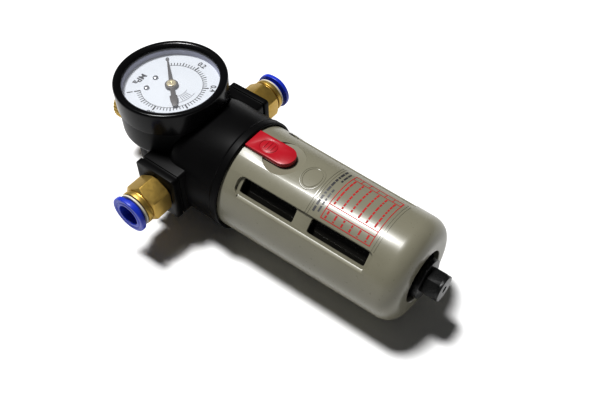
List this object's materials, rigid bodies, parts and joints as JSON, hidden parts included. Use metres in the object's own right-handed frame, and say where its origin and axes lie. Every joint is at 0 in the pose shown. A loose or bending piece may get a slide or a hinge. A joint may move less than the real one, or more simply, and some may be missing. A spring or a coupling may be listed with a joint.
{
  "type": "air pressure regulator",
  "caption": "Compressed-air filter regulator lying on its back: black body with push-in tube fittings, front pressure gauge, slotted bowl guard with slide latch, and drain.",
  "frame": {"origin": "on the rear mounting pad, straight below the crossing of the port axis and the bowl axis, with the part lying on its pad", "axes": "+X along the bowl axis to the drain, +Z out of the front face towards the gauge, +Y from the inlet port to the outlet port"},
  "size_m": [0.152, 0.0846, 0.0513],
  "materials": {
    "black_housing": "satin black, slightly grained",
    "black_bezel": "gloss black",
    "black_plastic": "moulded black nylon",
    "steel": "bright zinc plate",
    "brass": "machined brass",
    "rubber": "matt black nitrile",
    "sintered_bronze": "porous sintered bronze",
    "clear_bowl": "clear polycarbonate",
    "clear_lens": "clear acrylic",
    "guard_grey": null,
    "latch_red": "semi-gloss red plastic",
    "dial_white": null,
    "pointer_grey": "dark brown-grey paint",
    "pale_plastic": "pale resin",
    "collar_blue": "semi-gloss blue acetal"
  },
  "bodies": {
    "body": {"body": "black_housing", "bonnet": "black_housing", "bonnet_screw_1": "steel", "bonnet_screw_2": "steel", "bonnet_screw_3": "steel", "bonnet_screw_4": "steel", "lock_nut": "brass", "main_spring": "steel", "valve_spring": "steel", "valve_guide": "brass", "deflector": "black_plastic", "element_stud": "steel", "filter_element": "sintered_bronze", "element_baffle": "black_plastic", "gauge_case": "black_housing", "gauge_bezel": "black_bezel", "gauge_lens": "clear_lens", "gauge_dial": "dial_white", "dial_screw_1": "steel", "dial_screw_2": "steel", "bourdon_tube": "brass", "gauge_movement": "brass", "gauge_socket": "brass", "fitting_body_left": "brass", "fitting_body_right": "brass", "tube_seal_left": "rubber", "tube_seal_right": "rubber", "retaining_ring_left": "pale_plastic", "retaining_ring_right": "pale_plastic"},
    "spring_seat": {"spring_seat": "brass"},
    "adjuster": {"adjusting_knob": "brass", "adjusting_screw": "steel"},
    "valve_train": {"piston": "brass", "piston_seal": "rubber", "valve_stem": "brass", "valve_disc": "rubber"},
    "guard": {"bowl_guard": "guard_grey", "bowl": "clear_bowl", "bowl_seal": "rubber", "drain_body": "black_plastic", "drain_seal": "rubber", "latch_spring": "steel"},
    "latch": {"latch_button": "latch_red"},
    "drain": {"drain_knob": "black_plastic"},
    "pointer": {"gauge_pointer": "pointer_grey", "pointer_cap": "brass"},
    "collar_left": {"release_collar_left": "collar_blue", "collet_left": "steel"},
    "collar_right": {"release_collar_right": "collar_blue", "collet_right": "steel"}
  },
  "joints": [
    {"name": "seat_advance", "type": "slide", "parent": "body", "child": "spring_seat", "axis": [1, 0, 0], "range_m": [0, 0.0015], "deforming": ["main_spring"]},
    {"name": "knob_turn", "type": "hinge", "parent": "spring_seat", "child": "adjuster", "pos_m": [-0.042, 0, 0.0226], "axis": [1, 0, 0], "range_deg": [0, 720]},
    {"name": "valve_stroke", "type": "slide", "parent": "body", "child": "valve_train", "axis": [1, 0, 0], "range_m": [0, 0.0011], "stiffness_N_per_m": 1500, "deforming": ["valve_spring", "main_spring"]},
    {"name": "bowl_twist", "type": "hinge", "parent": "body", "child": "guard", "pos_m": [0.02, 0, 0.0226], "axis": [1, 0, 0], "range_deg": [0, 45]},
    {"name": "latch_slide", "type": "slide", "parent": "guard", "child": "latch", "axis": [1, 0, 0], "range_m": [0, 0.003], "stiffness_N_per_m": 500, "deforming": ["latch_spring"]},
    {"name": "drain_turn", "type": "hinge", "parent": "guard", "child": "drain", "pos_m": [0.103, 0, 0.0226], "axis": [1, 0, 0], "range_deg": [0, 90]},
    {"name": "pointer_turn", "type": "hinge", "parent": "body", "child": "pointer", "pos_m": [-0.0144, 0, 0.0476], "axis": [0, 0, -1], "range_deg": [0, 270], "stiffness_Nm_per_rad": 0.00002},
    {"name": "collar_press_left", "type": "slide", "parent": "body", "child": "collar_left", "axis": [0, 1, 0], "range_m": [0, 0.001], "stiffness_N_per_m": 1000},
    {"name": "collar_press_right", "type": "slide", "parent": "body", "child": "collar_right", "axis": [0, -1, 0], "range_m": [0, 0.001], "stiffness_N_per_m": 1000}
  ],
  "couplings": [
    {"joint": "knob_turn", "follows": "seat_advance", "rad_per_m": 8377}
  ]
}
